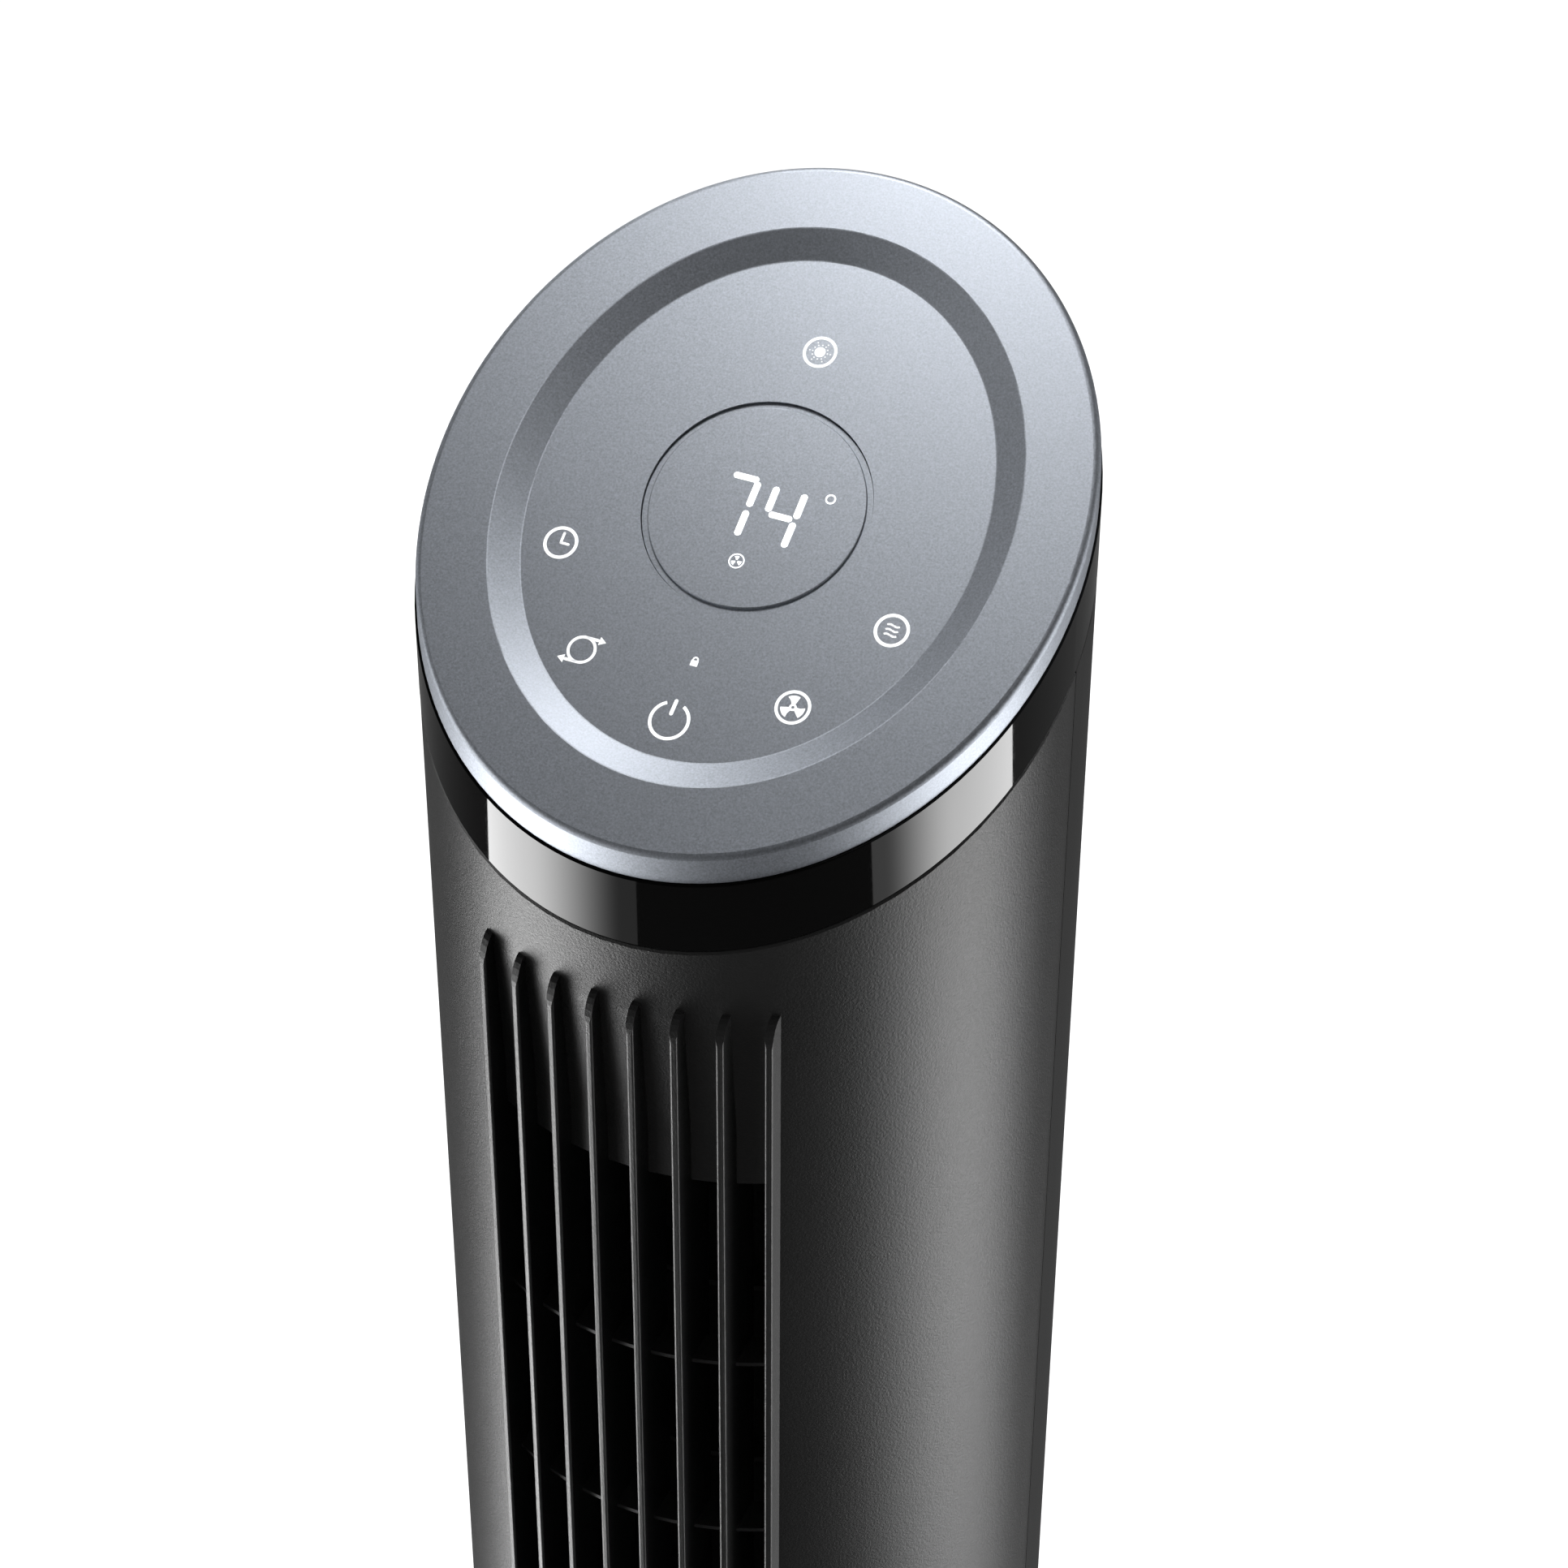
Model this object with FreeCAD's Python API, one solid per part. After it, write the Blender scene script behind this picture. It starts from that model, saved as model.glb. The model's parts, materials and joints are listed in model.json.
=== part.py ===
"""Round tower fan on a disc base: an upright cylinder with a slanted touch panel.

Millimetres.  +Z is up, the front (air outlet) faces -Y, and the origin is the
centre of the base on the floor.
"""
import FreeCAD, Part
import math
import os

from FreeCAD import Vector

# ---- Driving dimensions -------------------------------------------------
BODY_R = 75.0            # outer radius of the tower shells and the trim band
WALL = 2.5               # thickness of the moulded shells
CAP_R = 74.5             # outer radius of the control panel cap
TILT = 29.0              # slant of the control panel, degrees, low at the front
PANEL_Z = 1022.0         # height of the panel face where it crosses the axis
SEAM_Y = 1.8             # plane where the front and rear shells meet
SEAM_GAP = 0.3           # visible parting gap between shells

# Heights measured vertically from the slanted panel face
CAP_TOP = 3.4            # raised rim around the sunken panel face
CAP_BOTTOM = -3.7
BAND_TOP = -4.1
BAND_BOTTOM = -22.0
SHELL_TOP = -22.9
SHELL_EDGE = 0.4         # easing of the shell's top edge

# Slanted panel, measured in its own plane
RIM_DEPTH = 3.0          # rim height over the sunken face, square to it
FACE_UP = 1.1            # the sunken face sits this much above the axis
FACE_A = 51.4            # half width of the sunken face
FACE_B = 61.8            # half length of the sunken face
BEVEL_WIDTH = 6.8        # width of the sloping ring around the face
BEVEL_ROUND = 0.8        # easing of the ring's two edges
CAP_EDGE_R = 1.6         # rounding of the cap's outer edge
LENS_UP = 1.0            # the lens sits this much above the middle of the panel
LENS_HOLE_R = 25.9
LENS_R = 25.7
LENS_RIM = 1.3           # width of the sunken rim around the lens
LENS_RIM_DEPTH = 0.65
PANEL_SKIN = 3.2         # thickness of the panel under its face
TOUCH_SPOTS = [(0.0, -51.0), (-24.6, -41.4), (24.6, -41.4),
               (-39.2, -18.7), (39.2, -18.7), (0.0, 40.5)]

# Air outlet in the front shell
FIN_COUNT = 8
FIN_PITCH = 9.85
FIN_T = 1.8
FIN_R = 79.0             # fins stand proud of the shell
FIN_BACK_R = 64.0
FIN_TOP = 942.0
RAMP_BEND = 903.5        # the wall between fins slopes in down to here
OUTLET_TOP = 889.0
RIB_STEP = 57.4
RIB_COUNT = 12
RIB_T = 1.1
RIB_TOP = 831.5
RIB_R = 73.5
OUTLET_BOTTOM = RIB_TOP - RIB_STEP * RIB_COUNT
MIDDLE_Z = (OUTLET_TOP + OUTLET_BOTTOM) / 2.0
RECESS_R = 72.5
PAD_R = 70.0

# Tower foot and base
SHELL_BOTTOM = 43.0
FOOT_Z = 41.3            # underside of the turning foot
FOOT_R = 72.2
BASE_R = 150.0
BASE_TOP = 40.0
BASE_RIM_Z = 17.0
INLET_Z = 11.2
BASE_WALL = 2.5
PLATE_TOP = 5.5
SPINDLE_R = 16.0
RUN_FIT = 0.08           # radial running clearance of shafts

# Oscillation gears
GEAR_MODULE = 1.25
GEAR_TEETH = 56
PINION_TEETH = 14
GEAR_Z = 24.0
GEAR_H = 6.0
TOOTH_THINNING = 0.32
MOTOR_DISTANCE = GEAR_MODULE * (GEAR_TEETH + PINION_TEETH) / 2.0

# Cross-flow impeller
IMP_Y = 8.0              # the impeller axis sits a little behind the tower axis
IMP_R = 44.0
IMP_INNER_R = 35.5
IMP_Z0 = 152.0
IMP_Z1 = 880.0
IMP_SECTIONS = 12
BLADES = 24
BLADE_T = 1.3
DISC_T = 1.6

SLOPE = math.tan(math.radians(TILT))
UP = Vector(0, 0, 1)
ORIGIN = Vector(0, 0, 0)


# ---- Helpers ------------------------------------------------------------
def cyl(r, z0, z1, x=0.0, y=0.0):
    """Upright cylinder between two heights."""
    return Part.makeCylinder(r, z1 - z0, Vector(x, y, z0))


def tube(ro, ri, z0, z1, x=0.0, y=0.0):
    """Upright tube between two heights."""
    return cyl(ro, z0, z1, x, y).cut(cyl(ri, z0 - 1, z1 + 1, x, y))


def box(x0, x1, y0, y1, z0, z1):
    """Box between two corners."""
    return Part.makeBox(x1 - x0, y1 - y0, z1 - z0, Vector(x0, y0, z0))


def bar_y(r, y0, y1, x, z):
    """Cylinder along Y."""
    return Part.makeCylinder(r, y1 - y0, Vector(x, y0, z), Vector(0, 1, 0))


def polygon_face(points):
    """Flat face from a list of vectors."""
    return Part.Face(Part.makePolygon(points + [points[0]]))


def revolved(profile, degrees=360):
    """Solid turned about Z from (radius, height) points."""
    face = polygon_face([Vector(r, 0, z) for r, z in profile])
    return face.revolve(ORIGIN, UP, degrees)


def prism(points, z0, z1):
    """Upright prism from (x, y) points."""
    face = polygon_face([Vector(x, y, z0) for x, y in points])
    return face.extrude(Vector(0, 0, z1 - z0))


def plane_z(offset, y):
    """Height of the slanted plane at depth y."""
    return PANEL_Z + offset + y * SLOPE


def below(offset, reach=160.0):
    """Space under the slanted plane."""
    points = [Vector(-reach, -reach, -10), Vector(-reach, reach, -10),
              Vector(-reach, reach, plane_z(offset, reach)),
              Vector(-reach, -reach, plane_z(offset, -reach))]
    return polygon_face(points).extrude(Vector(2 * reach, 0, 0))


def slanted_ring(ro, ri, low, high):
    """Round wall cut between two slanted planes."""
    blank = tube(ro, ri, 700, 1300) if ri > 0 else cyl(ro, 700, 1300)
    return blank.common(below(high)).cut(below(low))


def on_panel(shape):
    """Move a shape from panel coordinates to its slanted place."""
    moved = shape.copy()
    moved.rotate(ORIGIN, Vector(1, 0, 0), TILT)
    moved.translate(Vector(0, 0, PANEL_Z))
    return moved


def ellipse_wire(a, b, z):
    """Closed ellipse, longer along Y."""
    curve = Part.Ellipse(Vector(0, b, z), Vector(a, 0, z), Vector(0, 0, z))
    return Part.Wire([curve.toShape()])


def ellipse_prism(a, b, z0, z1):
    """Elliptical plate square to the panel."""
    return Part.Face(ellipse_wire(a, b, z0)).extrude(Vector(0, 0, z1 - z0))


def joined(shapes):
    """One solid from overlapping shapes."""
    result = shapes[0].multiFuse(shapes[1:])
    return result.removeSplitter()


def together(shapes):
    """Separate like pieces in one node."""
    return Part.makeCompound(shapes)


def screw(r, length, head_r, head_h, place, direction):
    """Pan head screw: the head starts at place, the thread runs along direction."""
    head = Part.makeCylinder(head_r, head_h, ORIGIN)
    shank = Part.makeCylinder(r, length + head_h, ORIGIN)
    slot = box(-head_r, head_r, -0.4, 0.4, -0.1, head_h * 0.4)
    cross = box(-0.4, 0.4, -head_r, head_r, -0.1, head_h * 0.4)
    body = head.fuse(shank).cut(slot).cut(cross)
    turn = FreeCAD.Rotation(UP, direction)
    body.Placement = FreeCAD.Placement(place, turn)
    return body


def ring_spots(count, radius, start=0.0):
    """Evenly spaced (x, y) places on a circle."""
    step = 360.0 / count
    angles = [math.radians(start + step * i) for i in range(count)]
    return [(radius * math.cos(a), radius * math.sin(a)) for a in angles]


def save(name, shape):
    """Write one node."""
    if not shape.isValid():
        print("INVALID", name)
    solids = len(shape.Solids)
    print("%-24s solids %3d  volume %11.1f" % (name, solids, shape.Volume))
    shape.exportStep("parts/%s.step" % name)


# ---- Base ---------------------------------------------------------------
FOOT_SPOTS = ring_spots(6, 128.0, 30.0)
BASE_SCREW_SPOTS = ring_spots(6, 136.0, 0.0)
WEIGHT_SCREW_SPOTS = ring_spots(4, 96.0, 45.0)
OSC_X, OSC_Y = 0.0, MOTOR_DISTANCE
OSC_EARS = [(OSC_X - 19.0, OSC_Y), (OSC_X + 19.0, OSC_Y)]


def dome(drop):
    """(radius, height) points across the domed top of the base, inwards."""
    points = []
    for i in range(13):
        t = i / 12.0
        r = BASE_R - 4.0 - (BASE_R - 4.0 - 82.0) * t
        z = BASE_RIM_Z + 4.0 + (BASE_TOP - BASE_RIM_Z - 4.0) * math.sin(t * math.pi / 2) ** 0.9
        points.append((r, z - drop))
    return points


def base_cover():
    outer = [(0, 2.5), (BASE_R - 1.0, 2.5), (BASE_R, 4.0), (BASE_R, BASE_RIM_Z)]
    outer += [(BASE_R - 1.2, BASE_RIM_Z + 2.4)] + dome(0.0) + [(0, BASE_TOP)]
    inner_r = BASE_R - BASE_WALL
    inner = [(0, 2.0), (inner_r, 2.0), (inner_r, BASE_RIM_Z)]
    inner += [(inner_r - 1.2, BASE_RIM_Z + 1.6)]
    inner += [(r - 1.5, z) for r, z in dome(BASE_WALL)] + [(0, BASE_TOP - BASE_WALL)]
    cover = revolved(outer).cut(revolved(inner))
    hub = tube(23.0, 19.0, 31.5, BASE_TOP - 1.0)
    solid = revolved(outer)
    bosses = [cyl(4.5, PLATE_TOP, 24.0, x, y).common(solid) for x, y in BASE_SCREW_SPOTS]
    cover = joined([cover, hub] + bosses)
    cover = cover.cut(cyl(19.0, 20, 60))
    for x, y in BASE_SCREW_SPOTS:
        cover = cover.cut(cyl(1.5, 2, 14.5, x, y))
    inlet = bar_y(4.2, BASE_R - 12, BASE_R + 5, 0, INLET_Z)
    recess = bar_y(5.6, BASE_R - 1.4, BASE_R + 5, 0, INLET_Z)
    return cover.cut(inlet).cut(recess)


def base_bottom_plate():
    plate = cyl(BASE_R - BASE_WALL - 0.4, 2.5, PLATE_TOP)
    for x, y in FOOT_SPOTS:
        plate = plate.cut(cyl(9.0, 2.0, 3.5, x, y))
    for x, y in BASE_SCREW_SPOTS:
        plate = plate.cut(cyl(1.7, 2, 6, x, y)).cut(cyl(3.6, 2, 4.0, x, y))
    for x, y in WEIGHT_SCREW_SPOTS:
        plate = plate.cut(cyl(2.2, 2, 6, x, y)).cut(cyl(4.6, 2, 4.0, x, y))
    return plate


def rubber_feet():
    feet = []
    for x, y in FOOT_SPOTS:
        pad = cyl(9.0, 0.0, 3.5, x, y)
        rim = [edge for edge in pad.Edges if edge.BoundBox.ZMax < 0.01]
        feet.append(pad.makeFillet(0.8, rim))
    return together(feet)


def counterweight_plate():
    plate = tube(120.0, 68.0, PLATE_TOP, PLATE_TOP + 7.0)
    for x, y in WEIGHT_SCREW_SPOTS:
        plate = plate.cut(cyl(1.9, 4, 20, x, y))
    return plate


def base_screws():
    return together([screw(1.4, 9.5, 3.2, 1.4, Vector(x, y, 2.6), UP)
                     for x, y in BASE_SCREW_SPOTS])


def weight_screws():
    return together([screw(1.8, 7.5, 4.0, 1.4, Vector(x, y, 2.6), UP)
                     for x, y in WEIGHT_SCREW_SPOTS])


def cord_grommet():
    sleeve = bar_y(4.2, BASE_R - 6.5, BASE_R - 1.0, 0, INLET_Z)
    flange = bar_y(5.4, BASE_R - 4.6, BASE_R - 3.0, 0, INLET_Z)
    face = bar_y(5.4, BASE_R - 1.4, BASE_R - 0.2, 0, INLET_Z)
    hole = bar_y(3.0, BASE_R - 10, BASE_R + 5, 0, INLET_Z)
    return joined([sleeve, flange, face]).cut(hole)


def glide_ring():
    ring = tube(68.0, 60.0, BASE_TOP, FOOT_Z - 0.1)
    return ring


def pivot_bush():
    flange = tube(22.0, SPINDLE_R + RUN_FIT, BASE_TOP, BASE_TOP + 1.0)
    sleeve = tube(19.0, SPINDLE_R + RUN_FIT, 31.5, BASE_TOP)
    return joined([flange, sleeve])


def oscillation_motor():
    can = cyl(14.0, PLATE_TOP, 21.0, OSC_X, OSC_Y)
    ear = box(OSC_X - 19, OSC_X + 19, OSC_Y - 5, OSC_Y + 5, 20.0, 21.0)
    ends = [cyl(5.0, 20.0, 21.0, x, y) for x, y in OSC_EARS]
    shaft_boss = cyl(4.5, 21.0, 22.5, OSC_X, OSC_Y)
    plug = box(OSC_X - 7, OSC_X + 7, OSC_Y + 12, OSC_Y + 18, 8.0, 16.0)
    motor = joined([can, ear, shaft_boss, plug] + ends)
    for x, y in OSC_EARS:
        motor = motor.cut(cyl(2.1, 19, 22, x, y))
    return motor.cut(cyl(2.6, 14.0, 30.0, OSC_X, OSC_Y))


def oscillation_posts():
    posts = [cyl(4.2, PLATE_TOP, 20.0, x, y).cut(cyl(1.5, 12, 22, x, y)) for x, y in OSC_EARS]
    return together(posts)


def oscillation_screws():
    return together([screw(1.4, 7.0, 3.4, 1.4, Vector(x, y, 22.4), Vector(0, 0, -1))
                     for x, y in OSC_EARS])


# ---- Oscillation drive --------------------------------------------------
def gear_outline(teeth, module, thinning):
    """(x, y) outline of an involute spur gear with a tooth centred on +X."""
    pitch_r = module * teeth / 2.0
    base_r = pitch_r * math.cos(math.radians(20.0))
    root_r = pitch_r - 1.3 * module
    tip_r = pitch_r + 0.9 * module
    start_r = max(base_r, root_r)
    involute = math.tan(math.radians(20.0)) - math.radians(20.0)
    half_pitch = math.pi / (2 * teeth) - thinning / (2 * pitch_r)

    def half_angle(r):
        roll = math.acos(min(1.0, base_r / r))
        return half_pitch + involute - (math.tan(roll) - roll)

    steps = [start_r + (tip_r - start_r) * k / 4.0 for k in range(5)]
    flank = [(root_r, half_angle(start_r))] if root_r < start_r else []
    flank += [(r, half_angle(r)) for r in steps]
    points = []
    for i in range(teeth):
        centre = 2 * math.pi * i / teeth
        tooth = [(r, centre - a) for r, a in flank]
        tooth += [(r, centre + a) for r, a in reversed(flank)]
        points += [(r * math.cos(a), r * math.sin(a)) for r, a in tooth]
    return points


def oscillation_gear():
    outline = gear_outline(GEAR_TEETH, GEAR_MODULE, TOOTH_THINNING)
    gear = prism(outline, GEAR_Z, GEAR_Z + GEAR_H).cut(cyl(SPINDLE_R, 0, 60))
    for x, y in ring_spots(6, 25.0, 30.0):
        gear = gear.cut(cyl(4.5, 20, 40, x, y))
    return gear


def drive_pinion():
    outline = gear_outline(PINION_TEETH, GEAR_MODULE, TOOTH_THINNING)
    teeth = prism(outline, GEAR_Z - 1.0, GEAR_Z + GEAR_H + 1.0)
    teeth.translate(Vector(OSC_X, OSC_Y, 0))
    stub = cyl(2.5, 15.0, GEAR_Z, OSC_X, OSC_Y)
    return joined([teeth, stub])


def pivot_spindle():
    flange = cyl(30.0, 44.3, 46.8)
    post = cyl(SPINDLE_R, 20.0, 45.0)
    spindle = joined([flange, post]).cut(cyl(11.0, 10, 60))
    for x, y in ring_spots(4, 24.0, 45.0):
        spindle = spindle.cut(cyl(2.2, 40, 50, x, y))
    return spindle


def spindle_screws():
    return together([screw(1.6, 4.8, 3.4, 1.6, Vector(x, y, 48.5), Vector(0, 0, -1))
                     for x, y in ring_spots(4, 24.0, 45.0)])


def retaining_ring():
    ring = tube(21.0, SPINDLE_R - 1.4, 21.4, 22.6)
    return ring.cut(box(-3, 3, -30, 0, 20, 24)).cut(tube(SPINDLE_R, 1, 20, 24))


# ---- Tower foot ---------------------------------------------------------
FOOT_SCREW_SPOTS = [(52.0, 40.0), (-52.0, 40.0), (52.0, -40.0), (-52.0, -40.0)]


def tower_foot():
    plate = cyl(FOOT_R, FOOT_Z, 44.3)
    rim = tube(FOOT_R, FOOT_R - 2.4, 44.0, 58.0)
    bosses = [cyl(4.0, 44.0, 50.0, x, y) for x, y in ring_spots(4, 24.0, 45.0)]
    collar = tube(36.0, 33.5, 44.0, 50.0)
    foot = joined([plate, rim, collar])
    foot = foot.cut(cyl(SPINDLE_R + 0.2, 30, 60))
    for x, y in ring_spots(4, 24.0, 45.0):
        foot = foot.cut(cyl(1.6, 41.5, 50, x, y))
    for x, y in FOOT_SCREW_SPOTS:
        foot = foot.cut(cyl(2.2, 40, 60, x, y)).cut(cyl(4.2, 40, 42.8, x, y))
        notch = box(min(x * 0.8, x * 1.5), max(x * 0.8, x * 1.5),
                    min(y * 0.8, y * 1.5), max(y * 0.8, y * 1.5), 44.3, 60)
        foot = foot.cut(notch)
    return foot


def foot_screws():
    return together([screw(1.7, 12.0, 3.8, 1.3, Vector(x, y, FOOT_Z + 0.1), UP)
                     for x, y in FOOT_SCREW_SPOTS])


# ---- Tower shells -------------------------------------------------------
SEAM_SCREW_Z = [100.0, 300.0, 500.0, 700.0, 915.0]
SEAM_SCREW_X = 64.0
GRILLE_LOW = 152.0
GRILLE_HIGH = 872.0
GRILLE_X = 55.0
HANDLE = (-42.0, 42.0, 944.0, 980.0)
HANDLE_DEPTH_Y = 44.0


CARRIER_SCREW_SPOTS = [(-58.0, 16.0), (58.0, 16.0), (0.0, 61.0)]


def plane_edges(shape, offset):
    """Edges that lie in a slanted plane."""
    found = []
    for edge in shape.Edges:
        points = edge.discretize(8)
        if all(abs(p.z - plane_z(offset, p.y)) < 0.01 for p in points):
            found.append(edge)
    return found


def edge_reach(edge):
    """Largest distance of an edge from the tower's axis."""
    return max(math.hypot(p.x, p.y) for p in edge.discretize(8))


def half_space(front):
    """Front or rear side of the seam plane."""
    if front:
        return box(-100, 100, -100, SEAM_Y - SEAM_GAP / 2, 0, 1200)
    return box(-100, 100, SEAM_Y + SEAM_GAP / 2, 100, 0, 1200)


def plain_shell(front):
    shell = tube(BODY_R, BODY_R - WALL, SHELL_BOTTOM, 1100.0)
    shell = shell.common(below(SHELL_TOP))
    rim = [edge for edge in plane_edges(shell, SHELL_TOP) if edge_reach(edge) > BODY_R - 0.1]
    return shell.makeChamfer(SHELL_EDGE, rim).common(half_space(front))


def foot_bosses(front):
    sign = -1 if front else 1
    bosses = []
    for x, y in FOOT_SCREW_SPOTS:
        if y * sign > 0:
            boss = cyl(5.2, 44.3, 66.0, x, y)
            web = box(min(x, x * 1.12), max(x, x * 1.12), y - 1.5, y + 1.5, 44.3, 66.0)
            web = web.fuse(box(x - 1.5, x + 1.5, min(y, y * 1.3), max(y, y * 1.3), 44.3, 66.0))
            boss = boss.fuse(web).common(cyl(BODY_R - 1, 40, 80))
            bosses.append(boss.cut(cyl(1.75, 40, 60, x, y)))
    return bosses


def carrier_bosses():
    """Screw bosses under the panel carrier, webbed to the rear shell."""
    bosses = []
    for x, y in CARRIER_SCREW_SPOTS:
        reach = (BODY_R - 1.0) / math.hypot(x, y)
        low = plane_z(SHELL_TOP - 24.0, y)
        boss = cyl(4.0, low, 1100, x, y)
        web = box(min(x, x * reach) - 1.0, max(x, x * reach) + 1.0,
                  y - 1.0, y * reach + 1.0, low, 1100)
        boss = boss.fuse(web).common(cyl(BODY_R - 1, 900, 1100)).common(below(SHELL_TOP - 3.05))
        bosses.append(boss.cut(cyl(1.55, low + 6.0, 1100, x, y)))
    return bosses


def fin_positions():
    middle = (FIN_COUNT - 1) / 2.0
    return [(i - middle) * FIN_PITCH for i in range(FIN_COUNT)]


def mirrored_profile(top_half):
    """Add the mirror image of a top-half (radius, height) profile below the middle."""
    bottom = [(r, 2 * MIDDLE_Z - z) for r, z in reversed(top_half)]
    return top_half + bottom


def fin_envelope():
    """Turned body whose flat slices are the fins."""
    rise = [(FIN_BACK_R, OUTLET_TOP - 4.0), (71.0, OUTLET_TOP + 3.0), (71.0, FIN_TOP - 3.0),
            (73.6, FIN_TOP)]
    for i in range(7):
        t = math.radians(15.0 * i)
        rise.append((74.9 + (FIN_R - 74.88) * math.sin(t), FIN_TOP - 6.5 + 6.5 * math.cos(t)))
    return revolved(mirrored_profile(rise), 180)


def fin_section(x):
    """Plan outline of a fin: a flat plate with a rounded front edge."""
    half = FIN_T / 2
    corner = 0.55
    front = []
    for side in (-1, 1):
        edge_x = x + side * half
        edge_y = -math.sqrt(FIN_R ** 2 - (edge_x - side * corner) ** 2)
        turns = [math.radians(22.5 * k) for k in range(5)]
        arc = [(edge_x - side * corner * (1 - math.cos(t)), edge_y + corner * (1 - math.sin(t)))
               for t in turns]
        front += arc if side < 0 else arc[::-1]
    return [(x - half, -40.0)] + front + [(x + half, -40.0)]


def fin(x, envelope):
    """One upright fin with eased front edges."""
    return envelope.common(prism(fin_section(x), 0, 1200))


def ramp_cut():
    """Space removed where the wall between the fins slopes inwards."""
    top = [(RECESS_R, OUTLET_TOP - 1.0), (RECESS_R, RAMP_BEND), (BODY_R, FIN_TOP - 3.0),
           (BODY_R + 4.0, FIN_TOP - 3.0)]
    return revolved(mirrored_profile(top), 180)


def front_half_turn(shape):
    """Turned half bodies start on +X, so turn them to the front."""
    turned = shape.copy()
    turned.rotate(ORIGIN, UP, 180)
    return turned


def front_housing():
    shell = plain_shell(True)
    half_width = fin_positions()[-1]
    span = box(-half_width, half_width, -90, -40, 0, 1200)
    wide = box(-half_width - 2, half_width + 2, -90, -40, 0, 1200)
    low = OUTLET_BOTTOM - (FIN_TOP + 6.0 - OUTLET_TOP)
    pad = tube(BODY_R - WALL + 0.2, PAD_R, low, FIN_TOP + 6.0).common(wide)
    shell = shell.fuse(pad)
    shell = shell.cut(front_half_turn(ramp_cut()).common(span))
    window = box(-half_width, half_width, -90, -40, OUTLET_BOTTOM, OUTLET_TOP)
    shell = shell.cut(window)
    envelope = front_half_turn(fin_envelope())
    fins = [fin(x, envelope) for x in fin_positions()]
    ribs = []
    for i in range(RIB_COUNT):
        z = RIB_TOP - RIB_STEP * i
        ribs.append(tube(RIB_R, FIN_BACK_R + 1, z - RIB_T / 2, z + RIB_T / 2).common(span))
    posts = []
    for z in SEAM_SCREW_Z:
        for x in (-SEAM_SCREW_X, SEAM_SCREW_X):
            post = bar_y(4.2, -30.0, SEAM_Y - SEAM_GAP / 2, x, z)
            side = 1 if x > 0 else -1
            web = box(min(x, x + side * 8), max(x, x + side * 8), -30, -2, z - 1.2, z + 1.2)
            post = post.fuse(web).common(cyl(BODY_R - 1, z - 10, z + 10))
            posts.append(post.cut(bar_y(1.5, -22, 10, x, z)))
    return joined([shell] + fins + ribs + posts + foot_bosses(True))


def grille_zone(grow):
    """Rear sector that holds the intake grille."""
    return box(-GRILLE_X - grow, GRILLE_X + grow, 30, 100, GRILLE_LOW - grow, GRILLE_HIGH + grow)


def rear_housing():
    shell = plain_shell(False).cut(grille_zone(0.3))
    ledge = tube(BODY_R - WALL, BODY_R - WALL - 2.0, GRILLE_LOW - 8, GRILLE_HIGH + 8)
    ledge = ledge.common(box(-GRILLE_X - 6, GRILLE_X + 6, 30, 100, 0, 1000))
    ledge = ledge.cut(grille_zone(-5.0))
    x0, x1, z0, z1 = HANDLE
    shell = joined([shell, ledge])
    shell = shell.cut(box(x0, x1, 30, 100, z0, z1))
    sleeves = []
    for z in SEAM_SCREW_Z:
        for x in (-SEAM_SCREW_X, SEAM_SCREW_X):
            sleeve = bar_y(5.4, SEAM_Y + SEAM_GAP / 2, 60.0, x, z)
            sleeve = sleeve.common(cyl(BODY_R - 0.5, z - 10, z + 10))
            sleeves.append(sleeve)
    shell = joined([shell] + sleeves + foot_bosses(False) + carrier_bosses())
    for z in SEAM_SCREW_Z:
        for x in (-SEAM_SCREW_X, SEAM_SCREW_X):
            shell = shell.cut(bar_y(2.0, 0, 60, x, z)).cut(bar_y(3.9, 12.0, 90, x, z))
    for x, z in GRILLE_SCREW_SPOTS:
        shell = shell.cut(bar_y(1.3, 40, 90, x, z))
    return shell


GRILLE_SCREW_SPOTS = [(x, z) for x in (-50.0, 50.0) for z in (165.0, 512.0, 859.0)]


def rear_grille():
    skin = tube(BODY_R, BODY_R - WALL, GRILLE_LOW, GRILLE_HIGH).common(grille_zone(0.0))
    slots = []
    rows = 56
    step = 12.4
    first = (GRILLE_LOW + GRILLE_HIGH) / 2.0 - step * (rows - 1) / 2.0
    for i in range(rows):
        z = first + step * i
        for x0, x1 in ((-42.0, -22.5), (-19.5, -1.5), (1.5, 19.5), (22.5, 42.0)):
            slots.append(box(x0, x1, 40, 90, z - 3.6, z + 3.6))
    skin = skin.cut(together(slots))
    for x, z in GRILLE_SCREW_SPOTS:
        y = math.sqrt(BODY_R ** 2 - x ** 2)
        skin = skin.cut(bar_y(1.5, 40, 90, x, z)).cut(bar_y(3.2, y - 1.2, 90, x, z))
    return skin


def grille_screws():
    screws = []
    for x, z in GRILLE_SCREW_SPOTS:
        y = math.sqrt(BODY_R ** 2 - x ** 2)
        screws.append(screw(1.2, 5.0, 2.9, 1.1, Vector(x, y - 0.1, z), Vector(0, -1, 0)))
    return together(screws)


def seam_screws():
    screws = []
    for z in SEAM_SCREW_Z:
        for x in (-SEAM_SCREW_X, SEAM_SCREW_X):
            screws.append(screw(1.45, 26.0, 3.4, 1.8, Vector(x, 13.8, z), Vector(0, -1, 0)))
    return together(screws)


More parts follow.
